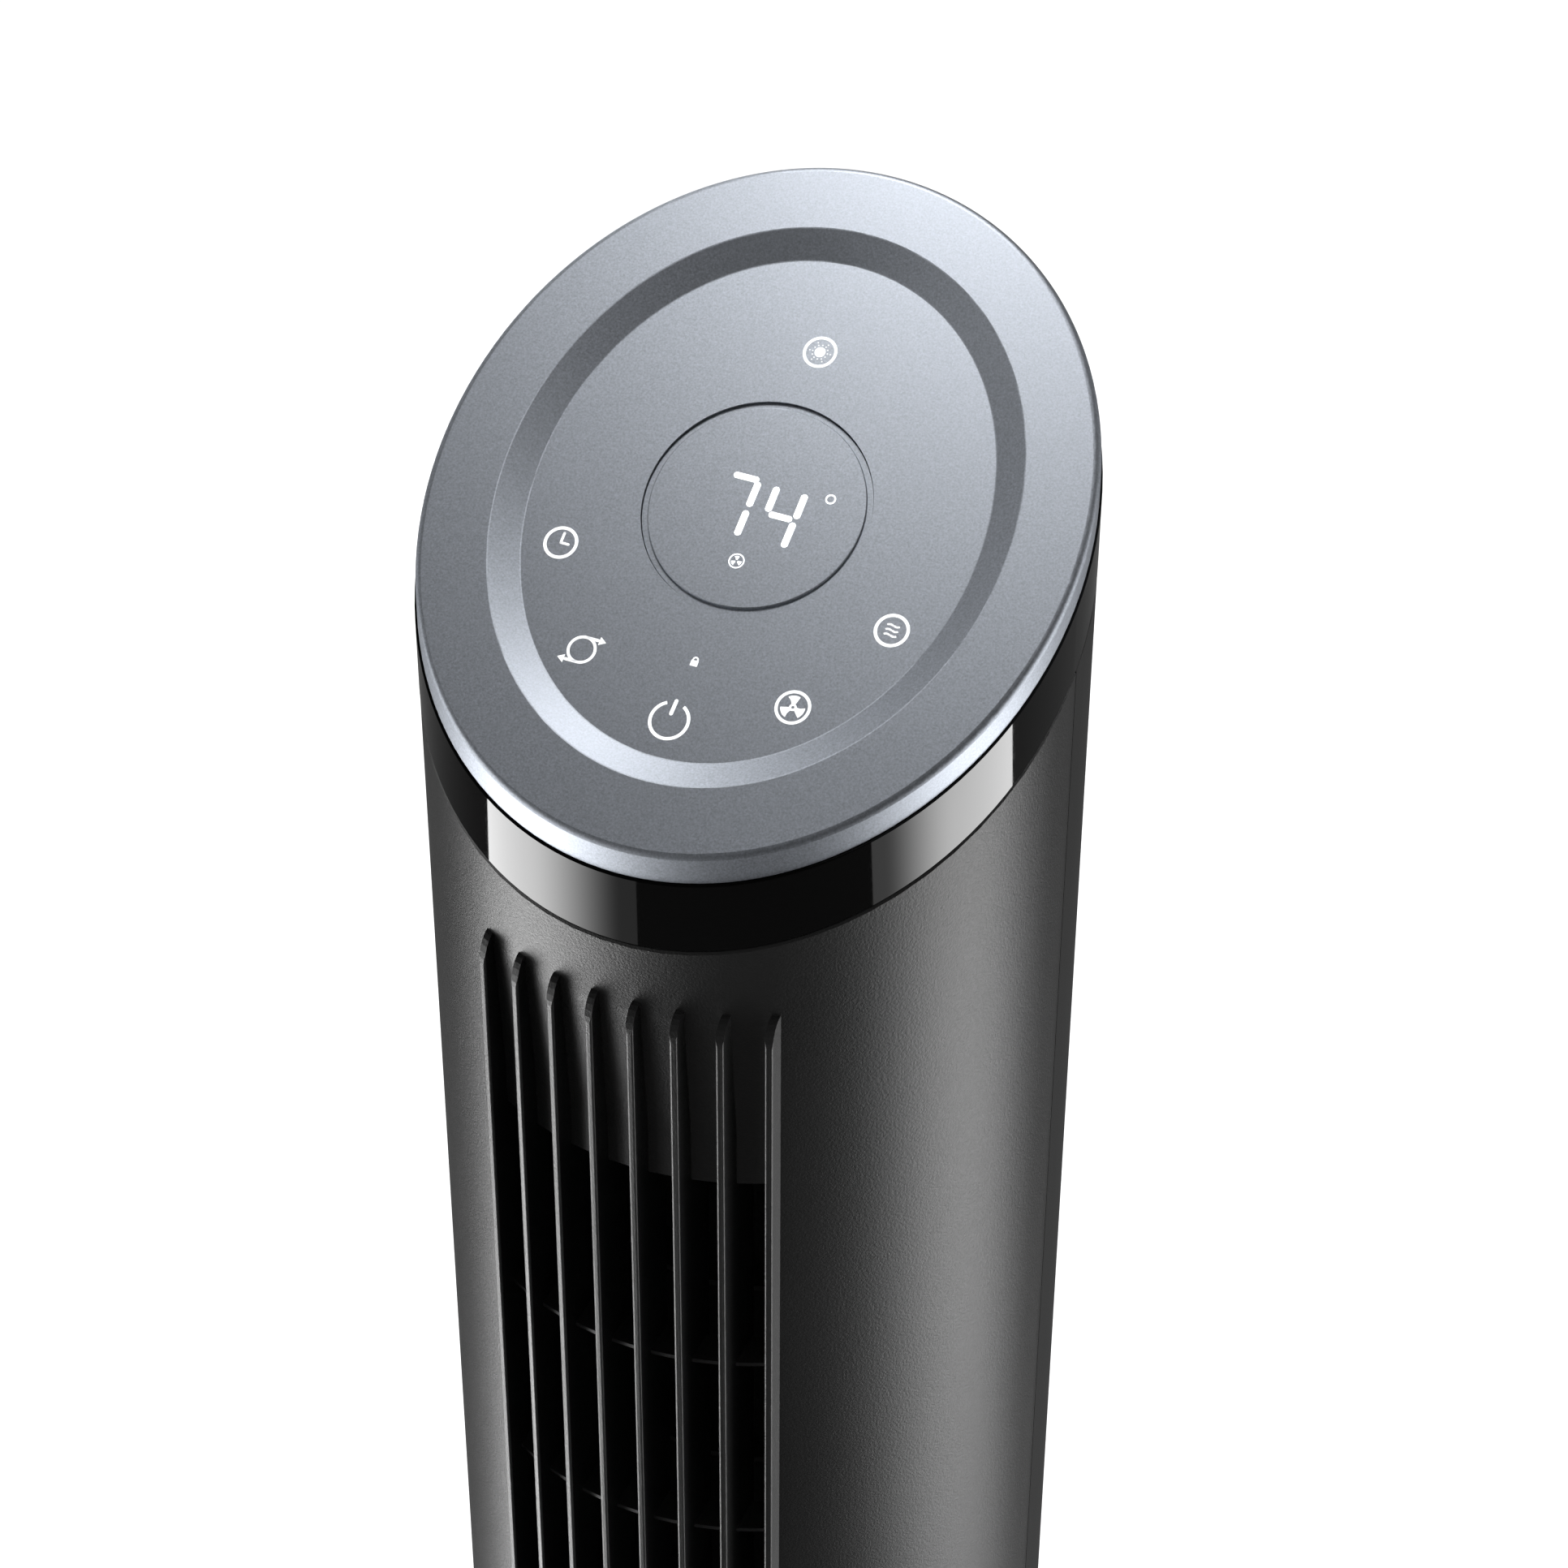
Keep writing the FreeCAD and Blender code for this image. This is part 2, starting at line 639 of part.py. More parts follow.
def handle_cup():
    x0, x1, z0, z1 = HANDLE
    outer = box(x0 + 0.2, x1 - 0.2, HANDLE_DEPTH_Y, 90, z0 + 0.2, z1 - 0.2)
    inner = box(x0 + 2.2, x1 - 2.2, HANDLE_DEPTH_Y + 2.0, 100, z0 + 2.2, z1 - 2.2)
    return outer.cut(inner).common(cyl(BODY_R - 0.2, 900, 1000))


# ---- Slanted top --------------------------------------------------------
def trim_band():
    wall = slanted_ring(BODY_R, BODY_R - 2.0, BAND_BOTTOM, BAND_TOP)
    ledge = slanted_ring(BODY_R - 1.5, BODY_R - 7.0, BAND_BOTTOM, BAND_BOTTOM + 2.2)
    return joined([wall, ledge])


def bevel_edges(cap):
    """The two oval edges of the sloping ring, clear of the cap's outer edge."""
    found = []
    slope = math.radians(TILT)
    for edge in cap.Edges:
        points = edge.discretize(8)
        heights = [(p.z - PANEL_Z) * math.cos(slope) - p.y * math.sin(slope) for p in points]
        level = max(heights) - min(heights) < 0.01
        inside = max(math.hypot(p.x, p.y) for p in points) < CAP_R - CAP_EDGE_R - 1.0
        if level and inside and min(heights) > -0.01:
            found.append(edge)
    return found


def control_panel():
    blank = slanted_ring(CAP_R, 0, CAP_BOTTOM, CAP_TOP)
    rounded = blank.makeFillet(CAP_EDGE_R, plane_edges(blank, CAP_TOP))
    run = BEVEL_WIDTH / RIM_DEPTH
    low = ellipse_wire(FACE_A, FACE_B, 0.0)
    high = ellipse_wire(FACE_A + run * 4.0, FACE_B + run * 4.0, 4.0)
    sink = Part.makeLoft([low, high], True, True)
    sink.translate(Vector(0, FACE_UP, 0))
    cap = rounded.cut(on_panel(sink))
    cap = cap.makeFillet(BEVEL_ROUND, bevel_edges(cap))
    groove = ellipse_prism(69.0, 79.0, -12.0, 0.2).cut(ellipse_prism(62.5, 73.0, -13.0, 1.0))
    cap = cap.cut(on_panel(groove))
    skirt = slanted_ring(CAP_R - 2.1, CAP_R - 4.0, CAP_BOTTOM - 5.0, CAP_BOTTOM + 0.5)
    cap = joined([cap, skirt])
    return cap.cut(on_panel(cyl(LENS_HOLE_R, -20, 20, 0.0, LENS_UP)))


def display_lens():
    disc = cyl(LENS_R, -2.9, -LENS_RIM_DEPTH)
    face = cyl(LENS_R - LENS_RIM, -1.5, -0.05)
    top = [edge for edge in face.Edges if edge.BoundBox.ZMin > -0.1]
    face = face.makeFillet(0.25, top)
    flange = cyl(LENS_R + 2.0, -PANEL_SKIN - 1.2, -PANEL_SKIN - 0.05)
    neck = cyl(LENS_R - 0.6, -PANEL_SKIN - 0.5, -2.0)
    lens = joined([disc, face, neck, flange])
    lens.translate(Vector(0, LENS_UP, 0))
    return on_panel(lens)


def display_module():
    return on_panel(cyl(21.0, -12.4, -PANEL_SKIN - 1.3, 0.0, LENS_UP))


def control_board():
    board = ellipse_prism(56.0, 64.0, -14.0, -12.4)
    for x, y in BOARD_SCREW_SPOTS:
        board = board.cut(cyl(1.7, -20, 0, x, y))
    return on_panel(board)


BOARD_SCREW_SPOTS = [(-40.0, 28.0), (40.0, 28.0), (-34.0, -47.0), (34.0, -47.0)]


def board_screws():
    screws = []
    for x, y in BOARD_SCREW_SPOTS:
        screws.append(screw(1.4, 6.0, 2.8, 1.2, Vector(x, y, -11.2), Vector(0, 0, -1)))
    return on_panel(together(screws))


def touch_springs():
    coils = [tube(4.0, 3.3, -12.4, -PANEL_SKIN - 0.1, x, y) for x, y in TOUCH_SPOTS]
    return on_panel(together(coils))


def panel_carrier():
    floor = slanted_ring(BODY_R - WALL - 0.3, 0, SHELL_TOP - 3.0, SHELL_TOP - 0.6)
    lip = slanted_ring(BODY_R - 7.4, BODY_R - 9.4, SHELL_TOP - 2.0, BAND_BOTTOM + 5.0)
    posts = [on_panel(cyl(3.6, -21.5, -14.1, x, y)) for x, y in BOARD_SCREW_SPOTS]
    carrier = joined([floor, lip] + posts)
    for x, y in BOARD_SCREW_SPOTS:
        carrier = carrier.cut(on_panel(cyl(1.45, -19.0, 0, x, y)))
    for x, y in CARRIER_SCREW_SPOTS:
        carrier = carrier.cut(cyl(1.6, 900, 1100, x, y))
        carrier = carrier.cut(cyl(3.4, plane_z(SHELL_TOP, y) + 0.3, 1100, x, y))
    return carrier.cut(cyl(9.0, 940, 1060, 0, -40))


def carrier_screws():
    screws = []
    for x, y in CARRIER_SCREW_SPOTS:
        z = plane_z(SHELL_TOP - 0.6, y) + 1.0
        screws.append(screw(1.5, 8.0, 3.0, 1.3, Vector(x, y, z + 1.3), Vector(0, 0, -1)))
    return together(screws)


# ---- Air path -----------------------------------------------------------
def wall_strip(points, thickness, z0, z1):
    """Upright wall of even thickness along a plan path."""
    left = []
    right = []
    for i, (x, y) in enumerate(points):
        ax, ay = points[max(i - 1, 0)]
        bx, by = points[min(i + 1, len(points) - 1)]
        length = math.hypot(bx - ax, by - ay)
        nx = -(by - ay) / length * thickness / 2
        ny = (bx - ax) / length * thickness / 2
        left.append((x + nx, y + ny))
        right.append((x - nx, y - ny))
    return prism(left + right[::-1], z0, z1)


def scroll_points():
    """Plan path of the scroll wall, from the outlet edge to the intake edge."""
    points = [(-37.5, -60.0), (-42.5, -44.0), (-48.5, -26.0)]
    for i in range(11):
        angle = math.radians(207.0 - 7.5 * i)
        radius = 56.0 - 0.5 * i
        points.append((radius * math.cos(angle), IMP_Y + radius * math.sin(angle)))
    return points


def tongue_points():
    """Plan path of the short tongue that splits intake from outlet."""
    return [(37.5, -60.0), (41.0, -46.0), (44.5, -33.0), (49.5, -24.0), (57.0, -18.0)]


DUCT_LOW = 147.5
DUCT_HIGH = 886.0


def duct_scroll():
    return wall_strip(scroll_points(), 2.0, DUCT_LOW, DUCT_HIGH)


def duct_tongue():
    return wall_strip(tongue_points(), 2.2, DUCT_LOW, DUCT_HIGH)


def duct_outline():
    """Plan area of the duct end plates."""
    return cyl(62.0, 0, 1200).common(box(-62, 62, -62, 62, 0, 1200))


def duct_top_plate():
    plate = duct_outline().common(box(-90, 90, -90, 90, DUCT_HIGH, DUCT_HIGH + 2.4))
    seat = tube(14.0, 9.0, DUCT_HIGH, DUCT_HIGH + 12.0, 0, IMP_Y)
    return joined([plate, seat]).cut(cyl(9.0, 800, 950, 0, IMP_Y))


def duct_bottom_plate():
    plate = duct_outline().common(box(-90, 90, -90, 90, DUCT_LOW - 2.4, DUCT_LOW))
    plate = plate.cut(cyl(12.0, 100, 200, 0, IMP_Y))
    for x, y in motor_screw_spots():
        plate = plate.cut(cyl(2.6, 100, 200, x, y))
    return plate


# ---- Impeller -----------------------------------------------------------
def blade_outline(turn):
    """Plan outline of one curved blade."""
    outer_side = []
    inner_side = []
    for i in range(6):
        t = i / 5.0
        r = IMP_INNER_R + (IMP_R - 0.4 - IMP_INNER_R) * t
        sweep = math.radians(9.0) * math.sin(t * math.pi * 0.62)
        half = BLADE_T / (2 * r)
        outer_side.append((r, turn + sweep + half))
        inner_side.append((r, turn + sweep - half))
    polar = outer_side + inner_side[::-1]
    return [(r * math.cos(a), IMP_Y + r * math.sin(a)) for r, a in polar]


def impeller():
    pieces = []
    for i in range(BLADES):
        pieces.append(prism(blade_outline(2 * math.pi * i / BLADES), IMP_Z0, IMP_Z1))
    step = (IMP_Z1 - IMP_Z0 - DISC_T) / IMP_SECTIONS
    for i in range(IMP_SECTIONS + 1):
        z = IMP_Z0 + step * i
        disc = cyl(IMP_R, z, z + DISC_T, 0, IMP_Y)
        if 0 < i < IMP_SECTIONS:
            disc = disc.cut(cyl(IMP_INNER_R - 1.5, z - 1, z + DISC_T + 1, 0, IMP_Y))
        pieces.append(disc)
    hub = cyl(10.0, IMP_Z0 - 1.0, IMP_Z0 + 24.0, 0, IMP_Y)
    top_hub = cyl(7.0, IMP_Z1 - 14.0, IMP_Z1 + 1.0, 0, IMP_Y)
    wheel = joined(pieces + [hub, top_hub])
    wheel = wheel.cut(cyl(4.0, IMP_Z0 - 5, IMP_Z0 + 20.0, 0, IMP_Y))
    wheel = wheel.cut(cyl(3.0, IMP_Z1 - 12.0, IMP_Z1 + 5, 0, IMP_Y))
    return wheel.cut(bar_y(1.6, IMP_Y - 12, IMP_Y - 3, 0, IMP_Z0 + 12.0))


def impeller_pin():
    return cyl(3.0, IMP_Z1 - 12.0, DUCT_HIGH + 13.0, 0, IMP_Y)


def set_screw():
    return bar_y(1.55, IMP_Y - 10.5, IMP_Y - 4.0, 0, IMP_Z0 + 12.0)


def upper_bearing():
    return tube(6.0, 3.0 + RUN_FIT, DUCT_HIGH + 1.0, DUCT_HIGH + 11.0, 0, IMP_Y)


def bearing_rubber():
    return tube(9.0, 6.0, DUCT_HIGH + 0.5, DUCT_HIGH + 11.5, 0, IMP_Y)


# ---- Fan motor ----------------------------------------------------------
MOTOR_TOP = 138.0
MOTOR_LOW = 92.0
MOTOR_R = 38.0


def motor_screw_spots():
    return [(x, y + IMP_Y) for x, y in ring_spots(4, 43.0, 45.0)]


def motor_housing():
    can = tube(MOTOR_R, MOTOR_R - 1.8, MOTOR_LOW, MOTOR_TOP, 0, IMP_Y)
    lids = [cyl(MOTOR_R, MOTOR_LOW, MOTOR_LOW + 2.0, 0, IMP_Y),
            cyl(MOTOR_R, MOTOR_TOP - 2.0, MOTOR_TOP, 0, IMP_Y)]
    seats = [cyl(11.0, MOTOR_LOW, MOTOR_LOW + 8.0, 0, IMP_Y),
             cyl(11.0, MOTOR_TOP - 8.0, MOTOR_TOP, 0, IMP_Y)]
    ears = [cyl(6.0, MOTOR_TOP - 2.0, MOTOR_TOP, x, y) for x, y in motor_screw_spots()]
    shell = joined([can] + lids + seats + ears)
    shell = shell.cut(cyl(9.0, MOTOR_LOW + 1.0, MOTOR_LOW + 9, 0, IMP_Y))
    shell = shell.cut(cyl(9.0, MOTOR_TOP - 9.0, MOTOR_TOP - 1.0, 0, IMP_Y))
    shell = shell.cut(cyl(5.0, MOTOR_LOW - 1, MOTOR_TOP + 1, 0, IMP_Y))
    for x, y in motor_screw_spots():
        shell = shell.cut(cyl(3.2, MOTOR_TOP - 4, MOTOR_TOP + 2, x, y))
    for x, y in ring_spots(10, 27.0):
        shell = shell.cut(cyl(3.0, MOTOR_TOP - 3, MOTOR_TOP + 1, x, y + IMP_Y))
    return shell


def motor_stator():
    ring = tube(MOTOR_R - 1.8, 21.0, MOTOR_LOW + 10.0, MOTOR_TOP - 10.0, 0, IMP_Y)
    for x, y in ring_spots(12, 25.5):
        ring = ring.cut(cyl(2.4, 80, 150, x, y + IMP_Y))
    return ring


def motor_bearings():
    low = tube(9.0, 4.0 + RUN_FIT, MOTOR_LOW + 1.0, MOTOR_LOW + 8.0, 0, IMP_Y)
    high = tube(9.0, 4.0 + RUN_FIT, MOTOR_TOP - 8.0, MOTOR_TOP - 1.0, 0, IMP_Y)
    return together([low, high])


def motor_rotor():
    return tube(20.0, 4.0, MOTOR_LOW + 11.0, MOTOR_TOP - 11.0, 0, IMP_Y)


def motor_shaft():
    return cyl(4.0, MOTOR_LOW - 4.0, IMP_Z0 + 19.0, 0, IMP_Y)


def motor_grommets():
    rings = []
    for x, y in motor_screw_spots():
        body = tube(3.2, 1.9, MOTOR_TOP - 3.0, MOTOR_TOP + 7.1, x, y)
        pad = tube(5.6, 1.9, MOTOR_TOP, MOTOR_TOP + 7.1, x, y)
        rings.append(joined([body, pad]))
    return together(rings)


def motor_screws():
    return together([screw(1.8, 14.5, 4.2, 1.6, Vector(x, y, MOTOR_TOP - 4.6), UP)
                     for x, y in motor_screw_spots()])


# ---- Electronics --------------------------------------------------------
def power_board():
    return box(-34.0, 34.0, -46.4, -44.8, 62.0, 130.0)


def power_parts():
    base = -46.4
    coil = box(-26.0, -6.0, base - 13.0, base, 72.0, 92.0)
    heat_sink = box(4.0, 24.0, base - 10.0, base, 96.0, 120.0)
    cap = Part.makeCylinder(6.0, 11.5, Vector(16, base - 11.5, 80), Vector(0, 1, 0))
    relay = box(-24.0, -8.0, base - 9.0, base, 104.0, 122.0)
    return together([coil, heat_sink, cap, relay])


NODES = {
    "base_cover": base_cover,
    "base_bottom_plate": base_bottom_plate,
    "counterweight_plate": counterweight_plate,
    "rubber_feet": rubber_feet,
    "base_screws": base_screws,
    "weight_screws": weight_screws,
    "cord_grommet": cord_grommet,
    "glide_ring": glide_ring,
    "pivot_bush": pivot_bush,
    "oscillation_motor": oscillation_motor,
    "oscillation_posts": oscillation_posts,
    "oscillation_screws": oscillation_screws,
    "drive_pinion": drive_pinion,
    "oscillation_gear": oscillation_gear,
    "pivot_spindle": pivot_spindle,
    "spindle_screws": spindle_screws,
    "retaining_ring": retaining_ring,
    "tower_foot": tower_foot,
    "foot_screws": foot_screws,
    "front_housing": front_housing,
    "rear_housing": rear_housing,
    "rear_grille": rear_grille,
    "grille_screws": grille_screws,
    "seam_screws": seam_screws,
    "handle_cup": handle_cup,
    "trim_band": trim_band,
    "control_panel": control_panel,
    "display_lens": display_lens,
    "display_module": display_module,
    "control_board": control_board,
    "board_screws": board_screws,
    "touch_springs": touch_springs,
    "panel_carrier": panel_carrier,
    "carrier_screws": carrier_screws,
    "duct_scroll": duct_scroll,
    "duct_tongue": duct_tongue,
    "duct_top_plate": duct_top_plate,
    "duct_bottom_plate": duct_bottom_plate,
    "impeller": impeller,
    "impeller_pin": impeller_pin,
    "set_screw": set_screw,
    "upper_bearing": upper_bearing,
    "bearing_rubber": bearing_rubber,
    "motor_housing": motor_housing,
    "motor_stator": motor_stator,
    "motor_bearings": motor_bearings,
    "motor_rotor": motor_rotor,
    "motor_shaft": motor_shaft,
    "motor_grommets": motor_grommets,
    "motor_screws": motor_screws,
    "power_board": power_board,
    "power_parts": power_parts,
}

os.makedirs("parts", exist_ok=True)
for node_name, build in NODES.items():
    save(node_name, build())
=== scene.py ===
import json
import math

import bmesh
import bpy
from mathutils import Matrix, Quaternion, Vector


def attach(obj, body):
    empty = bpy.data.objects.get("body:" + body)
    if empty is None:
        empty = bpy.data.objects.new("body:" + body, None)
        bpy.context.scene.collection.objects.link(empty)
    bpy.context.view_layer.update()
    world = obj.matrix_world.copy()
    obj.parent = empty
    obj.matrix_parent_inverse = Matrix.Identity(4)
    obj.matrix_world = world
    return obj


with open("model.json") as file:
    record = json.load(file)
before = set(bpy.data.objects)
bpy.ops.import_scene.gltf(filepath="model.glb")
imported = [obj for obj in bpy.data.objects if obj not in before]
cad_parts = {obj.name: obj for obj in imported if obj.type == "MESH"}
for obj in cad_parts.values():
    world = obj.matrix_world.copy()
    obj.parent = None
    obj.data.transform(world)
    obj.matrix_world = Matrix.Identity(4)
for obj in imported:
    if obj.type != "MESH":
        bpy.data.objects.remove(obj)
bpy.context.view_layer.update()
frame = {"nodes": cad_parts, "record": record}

# ---- Camera: degrees round the object and over the floor, metres -------------------
VIEW_AZIMUTH = 23.44
VIEW_ELEVATION = 39.35
VIEW_ROLL = 0.25
FOCAL_MM = 102.6
SENSOR_MM = 36.0
CAMERA_PLACE = Vector((0.31985, -0.72122, 1.59215))

# ---- The slanted panel and its printed marks, millimetres --------------------------
TILT = math.radians(29.0)
PANEL_Z = 1022.0         # height of the panel's middle
LENS_TOP = -0.05         # the lens lies this much under the panel face
PRINT_LOW = -0.02        # the marks sink a little into the paint
PRINT_HIGH = 0.04
CIRCLE_STEPS = 48
DOT_STEPS = 10
BLADE_STEPS = 6
FAN_BLADES = (100.0, 220.0, 340.0)

# Middles of the marks, right of the panel's middle and up its slope
DIGITS_AT = (0.0, 0.0)
DEGREE_AT = (15.2, 7.1)
SMALL_FAN_AT = (0.4, -12.4)
BRIGHTNESS_AT = (0.0, 40.5)
POWER_AT = (0.0, -51.9)
LOCK_AT = (0.35, -37.6)
OSCILLATION_AT = (-24.9, -41.6)
SPEED_AT = (24.9, -41.6)
TIMER_AT = (-39.2, -18.8)
MODE_AT = (39.2, -18.8)

# Widths of the lines of the marks
LEVEL_SEGMENT = 1.5
UPRIGHT_SEGMENT = 1.6
POWER_LINE = 0.85
ARROW_LINE = 0.7
HAND_LINE = 0.6
LOCK_LINE = 0.35

# ---- Lights: metres, and brightness as radiance ------------------------------------
ROOM_LIGHT = 1.20        # what the floor and matt surfaces get from the room
MIRRORED_FRONT = 0.045   # what glossy surfaces mirror of the room's front
MIRRORED_BACK = 0.13     # and of its back
MIRRORED_OVERHEAD = 0.2  # the share of these that is left overhead
SIDE_DISTANCE = 1.6
SIDE_LOW = -1.9          # the side softboxes reach below the floor, which hides no light
SIDE_HIGH = 1.5
TOP_AIM = Vector((0.0, 0.0, 1.02))
TOP_AZIMUTH = -148.6
TOP_ELEVATION = 66.8
TOP_DISTANCE = 0.474
TOP_WIDTH = 0.263
TOP_HEIGHT = 0.23
TOP_RADIANCE = 12.4
TOP_CORE = 0.523         # share of the top softbox's radius that is at full brightness
FLOOR_HALF = 14.0


def direction(azimuth, elevation):
    """Unit vector from the object towards a place round it, azimuth 0 at -Y and 90 at +X."""
    a = math.radians(azimuth)
    e = math.radians(elevation)
    return Vector((math.sin(a) * math.cos(e), -math.cos(a) * math.cos(e), math.sin(e)))


def on_circle(radius, angle, centre=(0.0, 0.0)):
    """Point of a circle, its angle in degrees counter-clockwise from the right."""
    t = math.radians(angle)
    return (centre[0] + radius * math.cos(t), centre[1] + radius * math.sin(t))


def camera():
    """Camera that looks down on the slanted top from the front right."""
    outward = direction(VIEW_AZIMUTH, VIEW_ELEVATION)
    data = bpy.data.cameras.new("camera")
    data.lens = FOCAL_MM
    data.sensor_width = SENSOR_MM
    data.sensor_fit = "HORIZONTAL"
    data.clip_start = 0.05
    data.clip_end = 60.0
    cam = bpy.data.objects.new("camera", data)
    cam.rotation_mode = "QUATERNION"
    level = (-outward).to_track_quat("-Z", "Y")
    cam.rotation_quaternion = Quaternion(outward, math.radians(VIEW_ROLL)) @ level
    cam.location = CAMERA_PLACE
    bpy.context.scene.collection.objects.link(cam)
    bpy.context.scene.camera = cam


# ---- Material helpers --------------------------------------------------------------
def new_material(name):
    """Material with its node tree and shader."""
    mat = bpy.data.materials.new(name)
    mat.use_nodes = True
    tree = mat.node_tree
    shader = tree.nodes["Principled BSDF"]
    return mat, tree, shader


def grey(value):
    """Colour without hue."""
    return (value, value, value)


def noise(tree, scale, detail=4.0, rough=0.5):
    """Noise in object coordinates, scale in cycles per metre."""
    coords = tree.nodes.new("ShaderNodeTexCoord")
    node = tree.nodes.new("ShaderNodeTexNoise")
    node.inputs["Scale"].default_value = scale
    node.inputs["Detail"].default_value = detail
    node.inputs["Roughness"].default_value = rough
    tree.links.new(coords.outputs["Object"], node.inputs["Vector"])
    return node.outputs["Fac"]


def ramp(tree, source, low, high):
    """Colour ramp between two colours, over the middle of the noise's range."""
    node = tree.nodes.new("ShaderNodeValToRGB")
    first, last = node.color_ramp.elements
    first.position = 0.3
    last.position = 0.7
    first.color = (*low, 1.0)
    last.color = (*high, 1.0)
    tree.links.new(source, node.inputs["Fac"])
    return node.outputs["Color"]


def tint(tree, shader, source, dark, light):
    """Base colour that varies between two colours."""
    tree.links.new(ramp(tree, source, dark, light), shader.inputs["Base Color"])


def shine(tree, shader, source, low, high):
    """Roughness that varies between two values."""
    tree.links.new(ramp(tree, source, grey(low), grey(high)), shader.inputs["Roughness"])


def bump(tree, shader, source, strength, depth):
    """Relief of this depth in metres."""
    node = tree.nodes.new("ShaderNodeBump")
    node.inputs["Strength"].default_value = strength
    node.inputs["Distance"].default_value = depth
    tree.links.new(source, node.inputs["Height"])
    tree.links.new(node.outputs["Normal"], shader.inputs["Normal"])


# ---- Materials ---------------------------------------------------------------------
def plastic(name, dark, light, rough, grain, depth, gloss=0.5):
    """Moulded plastic with a spark-eroded grain; rough is its least and most roughness."""
    mat, tree, shader = new_material(name)
    shader.inputs["Specular IOR Level"].default_value = gloss
    tint(tree, shader, noise(tree, scale=14.0, detail=3.0), dark, light)
    fine = noise(tree, scale=grain, detail=3.0, rough=0.6)
    shine(tree, shader, fine, *rough)
    bump(tree, shader, fine, 0.5, depth)
    return mat


def metal(name, colour, roughness):
    """Plain metal with fine wear."""
    mat, tree, shader = new_material(name)
    shader.inputs["Metallic"].default_value = 1.0
    darker = tuple(c * 0.8 for c in colour)
    tint(tree, shader, noise(tree, scale=60.0), darker, colour)
    fine = noise(tree, scale=900.0)
    shine(tree, shader, fine, roughness * 0.8, roughness * 1.2)
    bump(tree, shader, fine, 0.2, 0.00003)
    return mat


def silver_paint(name, rough, sparkle_depth):
    """Satin blue-grey metallic paint with a fine sparkle."""
    mat, tree, shader = new_material(name)
    shader.inputs["Metallic"].default_value = 0.97
    sparkle = noise(tree, scale=2000.0, detail=3.0, rough=0.8)
    tint(tree, shader, sparkle, (0.36, 0.384, 0.424), (0.58, 0.617, 0.679))
    shine(tree, shader, sparkle, *rough)
    bump(tree, shader, sparkle, 0.25, sparkle_depth)
    return mat


def gloss_black():
    """Polished black trim that mirrors the softboxes."""
    mat, tree, shader = new_material("gloss_black")
    tint(tree, shader, noise(tree, scale=9.0), grey(0.0006), grey(0.0012))
    shine(tree, shader, noise(tree, scale=700.0), 0.02, 0.05)
    return mat


def print_white(name, glow):
    """White printed ink, or lit segments where glow is above zero."""
    mat, tree, shader = new_material(name)
    tint(tree, shader, noise(tree, scale=1500.0), (0.86, 0.87, 0.88), (0.95, 0.96, 0.97))
    shine(tree, shader, noise(tree, scale=2500.0), 0.45, 0.6)
    shader.inputs["Emission Color"].default_value = (0.95, 0.98, 1.0, 1.0)
    shader.inputs["Emission Strength"].default_value = glow
    return mat


def black_plastics():
    """The four black plastics, each under its material slot."""
    return {
        "shell_front": plastic(
            "front_grain", grey(0.0045), grey(0.0060),
            rough=(0.35, 0.43), grain=1700.0, depth=0.00018, gloss=0.62),
        "shell_rear": plastic(
            "rear_grain", grey(0.0045), grey(0.0060),
            rough=(0.36, 0.42), grain=2600.0, depth=0.00003),
        "base_black": plastic(
            "base_grain", grey(0.006), grey(0.009),
            rough=(0.32, 0.44), grain=2200.0, depth=0.00005),
        "black_plastic": plastic(
            "plain_black", grey(0.003), grey(0.005),
            rough=(0.45, 0.60), grain=900.0, depth=0.00004, gloss=0.40),
    }


def other_plastics():
    """The acetal, the circuit board and the rubber, each under its material slot."""
    return {
        "white_plastic": plastic(
            "acetal", (0.62, 0.61, 0.57), (0.70, 0.69, 0.66),
            rough=(0.35, 0.50), grain=700.0, depth=0.00003),
        "board_green": plastic(
            "board_green", (0.02, 0.11, 0.05), (0.03, 0.15, 0.06),
            rough=(0.25, 0.40), grain=300.0, depth=0.00003),
        "rubber": plastic(
            "rubber", grey(0.012), grey(0.018),
            rough=(0.70, 0.90), grain=900.0, depth=0.00006),
    }


def metals():
    """The bare metals, each under its material slot."""
    return {
        "steel": metal("steel", (0.52, 0.52, 0.53), 0.28),
        "zinc": metal("zinc", (0.60, 0.61, 0.62), 0.38),
        "weight_iron": metal("iron", (0.15, 0.15, 0.16), 0.55),
        "copper": metal("copper", (0.62, 0.30, 0.14), 0.35),
        "bronze": metal("bronze", (0.50, 0.36, 0.17), 0.42),
    }


def finishes():
    """The paints and the polished trim, each under its material slot."""
    return {
        "panel_metal": silver_paint("silver_paint", (0.46, 0.55), 0.00003),
        "lens": silver_paint("lens_paint", (0.44, 0.52), 0.00002),
        "gloss_black": gloss_black(),
    }


def paint_nodes():
    """Give every carried-over CAD node the material of its slot."""
    chosen = {**black_plastics(), **other_plastics(), **metals(), **finishes()}
    slots = {part["node"]: part["material_slot"] for part in frame["record"]["subparts"]}
    for name, obj in frame["nodes"].items():
        obj.data.materials.clear()
        obj.data.materials.append(chosen[slots[name]])


# ---- Printed marks on the slanted panel --------------------------------------------
def panel_point(u, v, w):
    """Place of a point u right, v up the slope and w above the panel face, all in millimetres."""
    y = v * math.cos(TILT) - w * math.sin(TILT)
    z = PANEL_Z + v * math.sin(TILT) + w * math.cos(TILT)
    return Vector((u, y, z)) / 1000.0


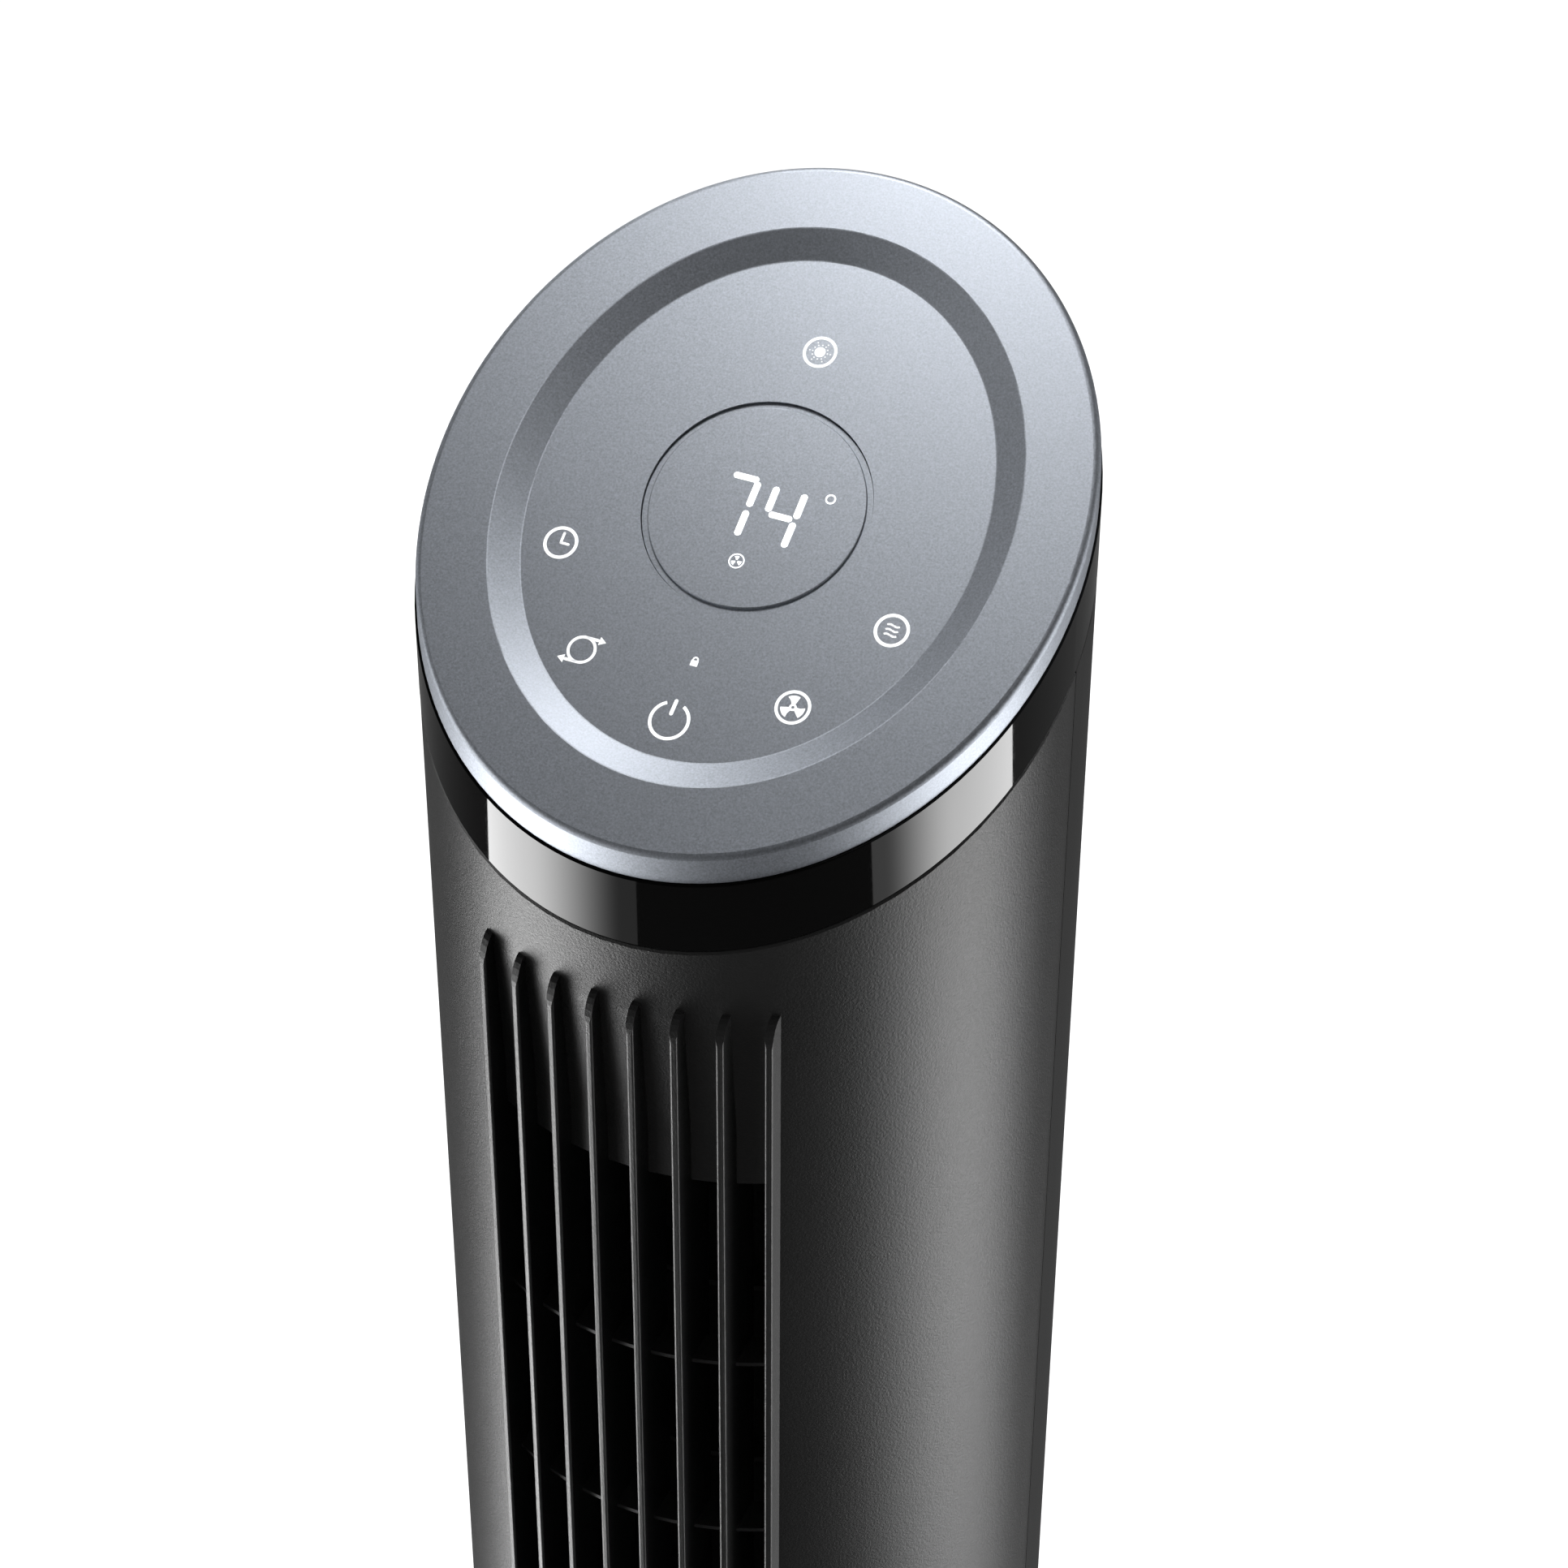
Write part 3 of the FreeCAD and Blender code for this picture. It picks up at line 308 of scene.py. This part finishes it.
class Mark:
    """One printed mark: flat closed slabs that share one object."""

    def __init__(self, name, centre, level=0.0):
        self.name = name
        self.centre = centre
        self.level = level
        self.mesh = bmesh.new()

    def vert(self, u, v, w):
        """Corner at this offset from the mark's middle."""
        return self.mesh.verts.new(panel_point(self.centre[0] + u, self.centre[1] + v, self.level + w))

    def shape(self, outline):
        """Slab with this outline."""
        low = [self.vert(u, v, PRINT_LOW) for u, v in outline]
        high = [self.vert(u, v, PRINT_HIGH) for u, v in outline]
        self.mesh.faces.new(high)
        self.mesh.faces.new(list(reversed(low)))
        for i in range(len(outline)):
            j = (i + 1) % len(outline)
            self.mesh.faces.new((low[i], low[j], high[j], high[i]))

    def disc(self, centre, radius, steps=CIRCLE_STEPS):
        """Round slab."""
        self.shape([on_circle(radius, 360.0 * i / steps, centre) for i in range(steps)])

    def arc(self, outer, inner, start, sweep, centre=(0.0, 0.0)):
        """Band between two radii, from start degrees through sweep degrees."""
        closed = sweep >= 360.0
        steps = max(4, int(CIRCLE_STEPS * sweep / 360.0))
        count = steps if closed else steps + 1
        section = ((outer, PRINT_LOW), (outer, PRINT_HIGH), (inner, PRINT_HIGH), (inner, PRINT_LOW))
        rows = []
        for i in range(count):
            angle = start + sweep * i / steps
            rows.append([self.vert(*on_circle(r, angle, centre), w) for r, w in section])
        for i in range(steps):
            a = rows[i]
            b = rows[(i + 1) % count]
            for k in range(4):
                m = (k + 1) % 4
                self.mesh.faces.new((a[k], b[k], b[m], a[m]))
        if not closed:
            self.mesh.faces.new(rows[0])
            self.mesh.faces.new(list(reversed(rows[-1])))

    def ring(self, outer, inner, centre=(0.0, 0.0)):
        """Closed band between two radii."""
        self.arc(outer, inner, 0.0, 360.0, centre)

    def bar(self, start, end, width, cut=0.3):
        """Straight bar whose corners are cut off by this share of its width."""
        a = Vector(start)
        b = Vector(end)
        along = (b - a).normalized()
        side = Vector((-along.y, along.x))
        half = width / 2.0
        c = width * cut
        points = [
            a + along * c - side * half, b - along * c - side * half, b - side * (half - c),
            b + side * (half - c), b - along * c + side * half, a + along * c + side * half,
            a + side * (half - c), a - side * (half - c),
        ]
        self.shape([tuple(p) for p in points])

    def blades(self, inner, outer, half_angle):
        """Three fan blades that widen outwards and lean with the turn."""
        middle = (inner + outer) / 2.0
        outline = [(inner, -half_angle)]
        for i in range(BLADE_STEPS + 1):
            outline.append((outer, half_angle * (-0.9 + 1.9 * i / BLADE_STEPS)))
        outline.append((middle, half_angle * 0.8))
        outline.append((inner, half_angle))
        for turn in FAN_BLADES:
            self.shape([on_circle(radius, turn + angle) for radius, angle in outline])

    def finish(self, material):
        """Make the mark's object, which rides on the tower."""
        bmesh.ops.recalc_face_normals(self.mesh, faces=self.mesh.faces)
        mesh = bpy.data.meshes.new(self.name)
        self.mesh.to_mesh(mesh)
        self.mesh.free()
        mesh.materials.append(material)
        obj = bpy.data.objects.new(self.name, mesh)
        bpy.context.scene.collection.objects.link(obj)
        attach(obj, "tower")


def display_digits(ink):
    """The two lit digits and the degree ring in the lens."""
    mark = Mark("display_digits", DIGITS_AT, LENS_TOP)
    level_segments = [
        ((-7.8, 7.2), (-1.8, 7.2)),       # top of the left digit
        ((3.2, 0.15), (8.7, 0.15)),       # middle of the right digit
    ]
    upright_segments = [
        ((-1.8, 0.6), (-1.75, 6.8)),      # right side of the left digit
        ((-1.85, -6.6), (-1.8, -0.4)),
        ((2.7, 0.6), (2.7, 6.8)),         # left side of the right digit
        ((9.4, 0.6), (9.4, 6.7)),         # right side of the right digit
        ((9.2, -6.6), (9.3, -0.4)),
    ]
    for start, end in level_segments:
        mark.bar(start, end, LEVEL_SEGMENT)
    for start, end in upright_segments:
        mark.bar(start, end, UPRIGHT_SEGMENT)
    mark.ring(1.2, 0.82, DEGREE_AT)
    mark.finish(ink)


def small_fan_mark(ink):
    """Lit fan in a ring, under the digits."""
    mark = Mark("small_fan_mark", SMALL_FAN_AT, LENS_TOP)
    mark.ring(1.8, 1.5)
    mark.blades(0.3, 1.2, 30.0)
    mark.finish(ink)


def brightness_mark(ink):
    """Sun in a ring, its rays two circles of dots."""
    mark = Mark("brightness_mark", BRIGHTNESS_AT)
    mark.ring(3.9, 3.2)
    mark.disc((0.0, 0.0), 1.25)
    for count, radius in ((12, 1.75), (6, 2.45)):
        for i in range(count):
            mark.disc(on_circle(radius, 360.0 * i / count), 0.17, DOT_STEPS)
    mark.finish(ink)


def power_mark(ink):
    """Ring open at the top, with a bar in the gap."""
    mark = Mark("power_mark", POWER_AT)
    mark.arc(4.65, 3.9, 117.0, 306.0)
    mark.bar((-0.2, 1.2), (-0.1, 5.1), POWER_LINE)
    mark.finish(ink)


def oscillation_mark(ink):
    """Ring with two arrows that chase each other."""
    mark = Mark("oscillation_mark", OSCILLATION_AT)
    mark.ring(3.35, 2.7)
    head = [(3.1, 4.0), (3.1, 2.0), (4.7, 2.9)]
    for side in (1.0, -1.0):
        mark.bar((0.0, 3.0 * side), (3.1 * side, 3.0 * side), ARROW_LINE)
        mark.shape([(u * side, v * side) for u, v in head])
    mark.finish(ink)


def speed_mark(ink):
    """Fan with a hub, in a ring."""
    mark = Mark("speed_mark", SPEED_AT)
    mark.ring(4.0, 3.3)
    mark.blades(0.75, 2.75, 31.0)
    mark.ring(0.85, 0.35)
    mark.finish(ink)


def timer_mark(ink):
    """Clock face with two hands."""
    mark = Mark("timer_mark", TIMER_AT)
    mark.ring(3.95, 3.2)
    mark.bar((0.0, -0.3), (0.0, 2.6), HAND_LINE)
    mark.bar((-0.3, 0.0), (2.1, 0.0), HAND_LINE)
    mark.finish(ink)


def mode_mark(ink):
    """Three short waves of air in a ring."""
    mark = Mark("mode_mark", MODE_AT)
    mark.ring(3.95, 3.2)
    for level in (1.15, 0.0, -1.15):
        mark.arc(1.25, 0.8, 50.0, 80.0, (-0.75, level - 0.85))
        mark.arc(1.25, 0.8, 230.0, 80.0, (0.75, level + 0.85))
    mark.finish(ink)


def lock_mark(ink):
    """Padlock with its body, its shackle and the shackle's two legs."""
    mark = Mark("lock_mark", LOCK_AT)
    mark.shape([(-0.85, -0.9), (0.85, -0.9), (0.85, 0.45), (-0.85, 0.45)])
    mark.arc(0.7, 0.35, 0.0, 180.0, (0.0, 0.65))
    for u in (-0.525, 0.525):
        mark.bar((u, 0.35), (u, 0.75), LOCK_LINE, cut=0.1)
    mark.finish(ink)


def panel_print():
    """All the printed marks and the lit digits."""
    ink = print_white("white_ink", 0.0)
    lit = print_white("lit_segments", 0.35)
    display_digits(lit)
    small_fan_mark(lit)
    brightness_mark(ink)
    power_mark(ink)
    oscillation_mark(ink)
    speed_mark(ink)
    timer_mark(ink)
    mode_mark(ink)
    lock_mark(ink)


# ---- Light nodes -------------------------------------------------------------------
def fade(tree, source, start, end, before, after):
    """Smooth change from one value to another along a coordinate."""
    node = tree.nodes.new("ShaderNodeMapRange")
    node.interpolation_type = "SMOOTHSTEP"
    node.clamp = True
    node.inputs["From Min"].default_value = start
    node.inputs["From Max"].default_value = end
    node.inputs["To Min"].default_value = before
    node.inputs["To Max"].default_value = after
    tree.links.new(source, node.inputs["Value"])
    return node.outputs["Result"]


def product(tree, values):
    """Product of node outputs."""
    total = values[0]
    for value in values[1:]:
        node = tree.nodes.new("ShaderNodeMath")
        node.operation = "MULTIPLY"
        tree.links.new(total, node.inputs[0])
        tree.links.new(value, node.inputs[1])
        total = node.outputs[0]
    return total


def vector_node(tree, operation, source, value):
    """Vector operation between a node output and a fixed vector."""
    node = tree.nodes.new("ShaderNodeVectorMath")
    node.operation = operation
    node.inputs[1].default_value = value
    tree.links.new(source, node.inputs[0])
    return node


def separate(tree, source):
    """The X, Y and Z of a vector."""
    parts = tree.nodes.new("ShaderNodeSeparateXYZ")
    tree.links.new(source, parts.inputs[0])
    return parts.outputs


# ---- Stage -------------------------------------------------------------------------
def light_panel(name, place, outward, width, height, radiance):
    """Rectangular lamp that shines back at the object; outward points from the object to it."""
    data = bpy.data.lights.new(name, "AREA")
    data.shape = "RECTANGLE"
    data.size = width
    data.size_y = height
    data.energy = radiance * math.pi * width * height
    lamp = bpy.data.objects.new(name, data)
    lamp.rotation_mode = "QUATERNION"
    lamp.location = place
    lamp.rotation_quaternion = (-outward).to_track_quat("-Z", "Y")
    lamp.visible_camera = False
    bpy.context.scene.collection.objects.link(lamp)
    return data


def lamp_nodes(data):
    """Node tree of a lamp, its emission node and the place of a point on it."""
    data.use_nodes = True
    tree = data.node_tree
    emission = tree.nodes["Emission"]
    geometry = tree.nodes.new("ShaderNodeNewGeometry")
    return tree, emission, geometry.outputs["Position"]


def across_and_height(tree, position, azimuth, place, width):
    """Share of the lamp's width, from 0 to 1 towards +azimuth, and the height over the floor."""
    a = math.radians(azimuth)
    relative = vector_node(tree, "SUBTRACT", position, place)
    along = (math.cos(a) / width, math.sin(a) / width, 0.0)
    dot = vector_node(tree, "DOT_PRODUCT", relative.outputs["Vector"], along)
    shift = tree.nodes.new("ShaderNodeMath")
    shift.operation = "ADD"
    shift.inputs[1].default_value = 0.5
    tree.links.new(dot.outputs["Value"], shift.inputs[0])
    return shift.outputs[0], separate(tree, position)["Z"]


def upright_softbox(name, azimuth, distance, width, low, high, radiance, fades=()):
    """Upright softbox. Each fade is ("across" or "height", start, end, before, after)."""
    outward = direction(azimuth, 0.0)
    place = outward * distance + Vector((0.0, 0.0, (low + high) / 2.0))
    data = light_panel(name, place, outward, width, high - low, radiance)
    if not fades:
        return
    tree, emission, position = lamp_nodes(data)
    across, height = across_and_height(tree, position, azimuth, place, width)
    values = []
    for axis, start, end, before, after in fades:
        source = across if axis == "across" else height
        values.append(fade(tree, source, start, end, before, after))
    tree.links.new(product(tree, values), emission.inputs["Strength"])


def side_softboxes():
    """The two big softboxes, dim towards the front and above the level of the floor."""
    upright_softbox(
        "left_softbox", azimuth=-48.0, distance=SIDE_DISTANCE, width=1.954,
        low=SIDE_LOW, high=SIDE_HIGH, radiance=7.6,
        fades=[
            ("across", 0.35, 0.90, 1.0, 0.045),
            ("height", -0.3, 0.0, 1.0, 0.25),
            ("height", -0.6, -1.1, 1.0, 1.3),
        ])
    upright_softbox(
        "right_softbox", azimuth=91.7, distance=SIDE_DISTANCE, width=1.714,
        low=SIDE_LOW, high=SIDE_HIGH, radiance=5.9,
        fades=[
            ("across", 0.08, 0.55, 0.11, 1.0),
            ("height", -0.3, 0.0, 1.0, 0.25),
            ("height", -0.35, -1.3, 1.25, 0.2),
        ])


def back_softbox():
    """Weak even softbox behind the object's left side."""
    upright_softbox(
        "back_softbox", azimuth=-140.0, distance=1.7, width=1.1, low=0.1, high=1.7, radiance=1.0)


def top_softbox():
    """Small softbox over the back edge of the panel, bright in its middle and dark at its rim."""
    outward = direction(TOP_AZIMUTH, TOP_ELEVATION)
    place = TOP_AIM + outward * TOP_DISTANCE
    data = light_panel("top_softbox", place, outward, TOP_WIDTH, TOP_HEIGHT, TOP_RADIANCE)
    tree, emission, position = lamp_nodes(data)
    away = vector_node(tree, "DISTANCE", position, place)
    radius = (TOP_WIDTH + TOP_HEIGHT) / 4.0
    strength = fade(tree, away.outputs["Value"], TOP_CORE * radius, radius, 1.0, 0.0)
    tree.links.new(strength, emission.inputs["Strength"])


def room():
    """White room for matt surfaces, dim room for what glossy surfaces mirror."""
    world = bpy.data.worlds.new("world")
    world.use_nodes = True
    tree = world.node_tree
    background = tree.nodes["Background"]
    background.inputs["Color"].default_value = (1.0, 1.0, 1.0, 1.0)
    coords = tree.nodes.new("ShaderNodeTexCoord")
    towards = separate(tree, coords.outputs["Generated"])
    behind = fade(tree, towards["Y"], -0.3, 0.7, MIRRORED_FRONT, MIRRORED_BACK)
    upwards = fade(tree, towards["Z"], 0.3, 0.8, 1.0, MIRRORED_OVERHEAD)
    rays = tree.nodes.new("ShaderNodeLightPath")
    mix = tree.nodes.new("ShaderNodeMix")
    mix.data_type = "FLOAT"
    mix.inputs["A"].default_value = ROOM_LIGHT
    tree.links.new(rays.outputs["Is Glossy Ray"], mix.inputs["Factor"])
    tree.links.new(product(tree, [behind, upwards]), mix.inputs["B"])
    tree.links.new(mix.outputs["Result"], background.inputs["Strength"])
    bpy.context.scene.world = world
    world.cycles.sampling_method = "NONE"


def floor():
    """Large pale floor that glossy surfaces don't mirror."""
    mesh = bpy.data.meshes.new("floor")
    r = FLOOR_HALF
    mesh.from_pydata([(-r, -r, 0), (r, -r, 0), (r, r, 0), (-r, r, 0)], [], [(0, 1, 2, 3)])
    obj = bpy.data.objects.new("floor", mesh)
    bpy.context.scene.collection.objects.link(obj)
    mat, tree, shader = new_material("floor")
    tint(tree, shader, noise(tree, scale=1.5), grey(0.88), grey(0.90))
    shader.inputs["Roughness"].default_value = 0.9
    mesh.materials.append(mat)
    obj.visible_glossy = False
    obj.visible_shadow = False


def stage():
    """Floor, room, lamps and the way tones are shown."""
    floor()
    room()
    side_softboxes()
    top_softbox()
    back_softbox()
    view = bpy.context.scene.view_settings
    view.view_transform = "Standard"
    view.look = "None"


camera()
paint_nodes()
panel_print()
stage()
